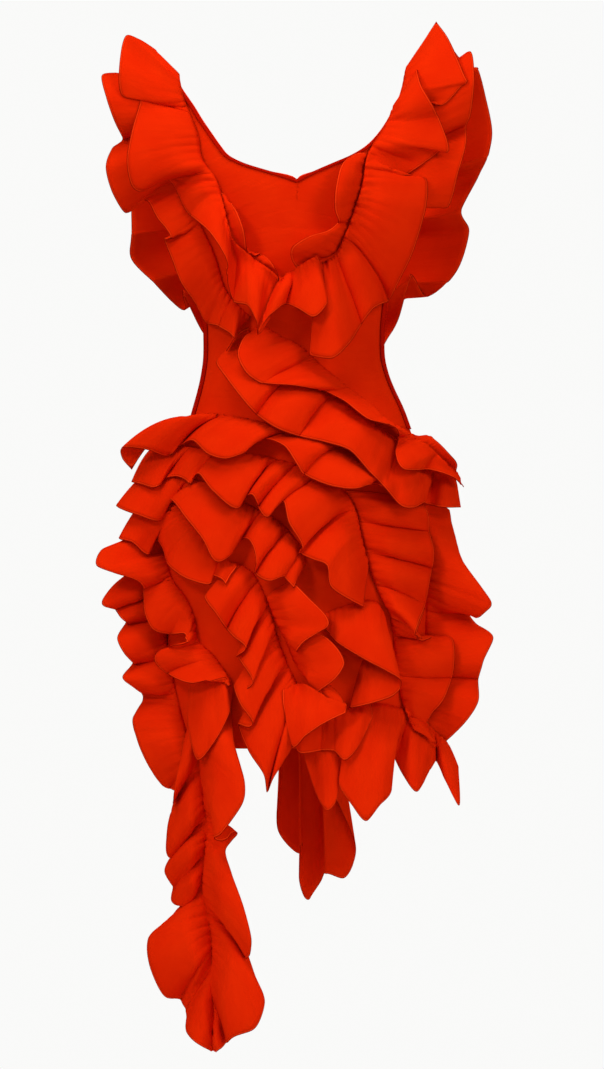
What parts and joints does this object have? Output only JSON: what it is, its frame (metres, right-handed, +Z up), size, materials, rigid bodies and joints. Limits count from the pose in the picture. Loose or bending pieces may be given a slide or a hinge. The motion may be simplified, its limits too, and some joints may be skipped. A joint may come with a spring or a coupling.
{
  "type": "tiered ruffle dress",
  "caption": "Sleeveless worn dress with a sweetheart neck, open low back, close skirt, gathered ruffles front and back and one long ruffle tail, hollow inside.",
  "frame": {"origin": "midway between the tops of the two shoulder straps, where the wearer's shoulders hold the dress", "axes": "+Z up, the front faces -Y, +X to the right of a viewer who faces the front"},
  "size_m": [0.5144, 0.3285, 1.3286],
  "materials": {
    "crepe": "matt smooth crepe",
    "bound_edge": "stitched binding"
  },
  "bodies": {
    "root": {"front_bodice": "crepe", "skirt_front": "crepe", "skirt_back": "crepe", "left_shoulder_strap": "crepe", "right_shoulder_strap": "crepe", "skirt_ruffle_left_side": "crepe", "skirt_ruffle_right_side": "crepe", "hem_ruffle_centre": "crepe", "hem_ruffle_right": "crepe", "skirt_ruffle_right_lower": "crepe", "skirt_ruffle_centre_hem": "crepe", "tail_leaf": "crepe", "tail_ruffle": "crepe", "skirt_ruffle_left_lower": "crepe", "skirt_ruffle_centre_left": "crepe", "skirt_ruffle_right_leaf": "crepe", "skirt_ruffle_centre_right": "crepe", "skirt_ruffle_centre_lower": "crepe", "hip_ruffle_right": "crepe", "skirt_ruffle_left_middle": "crepe", "skirt_ruffle_left_upper": "crepe", "hip_ruffle_left": "crepe", "peplum_ruffle": "crepe", "waist_ruffle_lower": "crepe", "waist_ruffle_end": "crepe", "waist_ruffle_upper": "crepe", "left_under_ruffle": "crepe", "right_under_ruffle": "crepe", "left_strap_ruffle_inner": "crepe", "left_strap_ruffle": "crepe", "right_strap_ruffle_inner": "crepe", "right_strap_ruffle": "crepe", "centre_ruffle": "crepe", "back_trailing_ruffle": "crepe", "back_tier_5": "crepe", "back_tier_4": "crepe", "back_tier_3": "crepe", "back_tier_2": "crepe", "back_tier_1": "crepe", "left_back_ruffle": "crepe", "right_back_ruffle": "crepe", "neck_binding": "bound_edge", "left_side_binding": "bound_edge", "right_side_binding": "bound_edge"}
  },
  "joints": []
}
